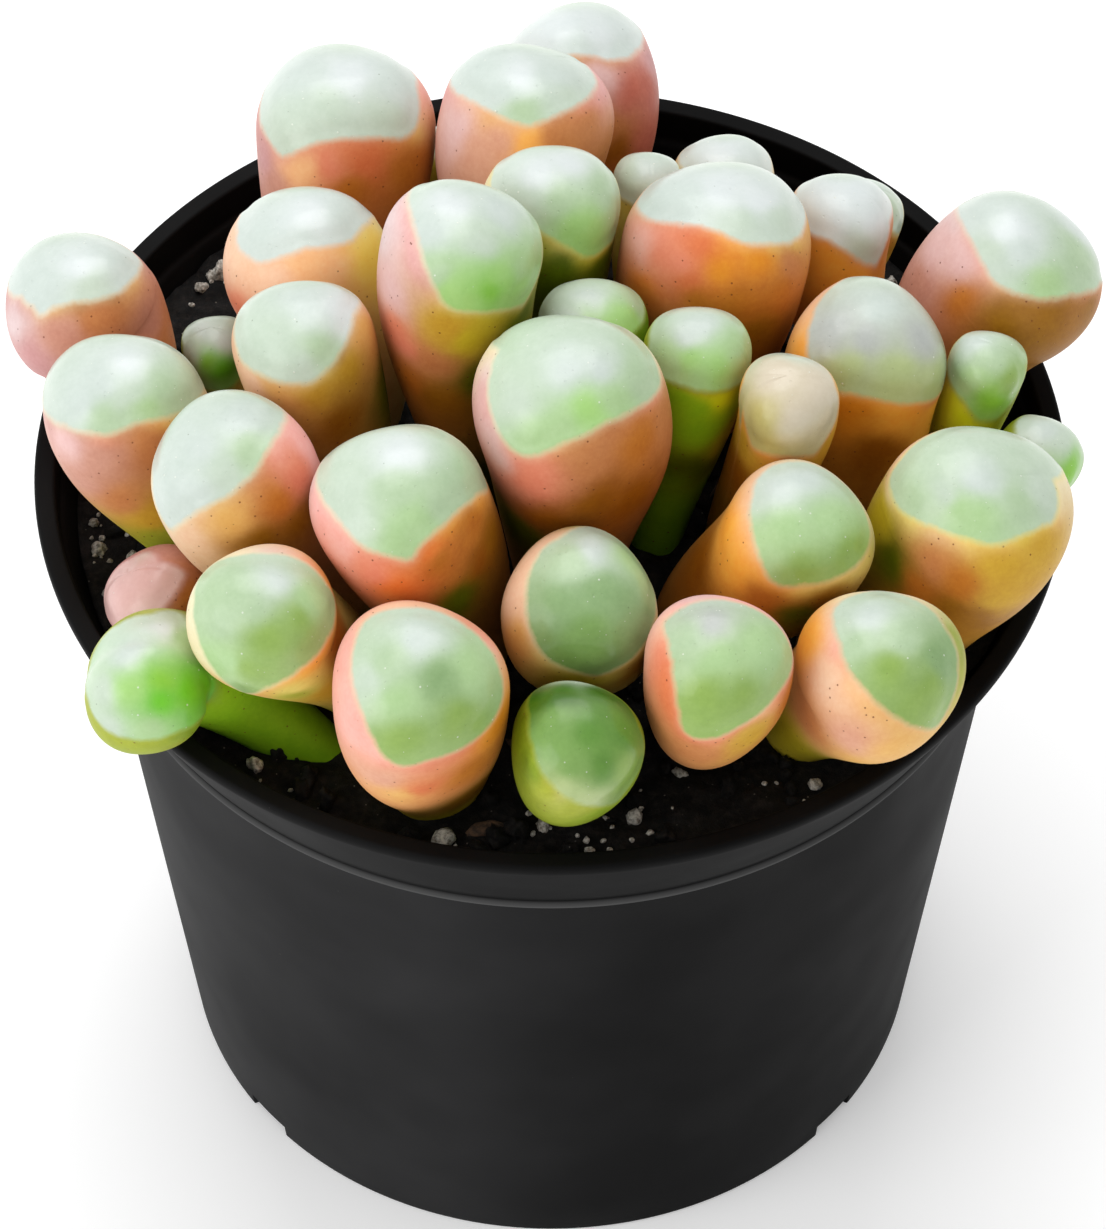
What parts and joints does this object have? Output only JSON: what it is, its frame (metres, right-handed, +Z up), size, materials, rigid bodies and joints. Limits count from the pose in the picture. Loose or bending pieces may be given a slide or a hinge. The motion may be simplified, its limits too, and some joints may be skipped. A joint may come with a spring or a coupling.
{
  "type": "potted baby toes plant",
  "caption": "Clump of club-shaped succulent leaves with translucent window tips, standing in dark potting mix in a round tapered nursery pot with a flared collar",
  "frame": {"origin": "on the pot's axis, at the level of its foot", "axes": "+Z up along the pot's axis; -Y is the front, towards the camera of the picture; +X is to the right seen from the front"},
  "size_m": [0.0675, 0.0649, 0.0698],
  "materials": {
    "pot_plastic": "matte",
    "potting_mix": "matte",
    "leaf_flesh": "satin"
  },
  "bodies": {
    "root": {"pot": "pot_plastic", "soil": "potting_mix", "leaf_01": "leaf_flesh", "leaf_02": "leaf_flesh", "leaf_03": "leaf_flesh", "leaf_04": "leaf_flesh", "leaf_05": "leaf_flesh", "leaf_06": "leaf_flesh", "leaf_07": "leaf_flesh", "leaf_08": "leaf_flesh", "leaf_09": "leaf_flesh", "leaf_10": "leaf_flesh", "leaf_11": "leaf_flesh", "leaf_12": "leaf_flesh", "leaf_13": "leaf_flesh", "leaf_14": "leaf_flesh", "leaf_15": "leaf_flesh", "leaf_16": "leaf_flesh", "leaf_17": "leaf_flesh", "leaf_18": "leaf_flesh", "leaf_19": "leaf_flesh", "leaf_20": "leaf_flesh", "leaf_21": "leaf_flesh", "leaf_22": "leaf_flesh", "leaf_23": "leaf_flesh", "leaf_24": "leaf_flesh", "leaf_25": "leaf_flesh", "leaf_26": "leaf_flesh", "leaf_27": "leaf_flesh", "leaf_28": "leaf_flesh", "leaf_29": "leaf_flesh", "leaf_30": "leaf_flesh", "leaf_31": "leaf_flesh", "leaf_32": "leaf_flesh", "leaf_33": "leaf_flesh", "leaf_34": "leaf_flesh", "leaf_35": "leaf_flesh", "leaf_36": "leaf_flesh", "leaf_37": "leaf_flesh"}
  },
  "joints": []
}
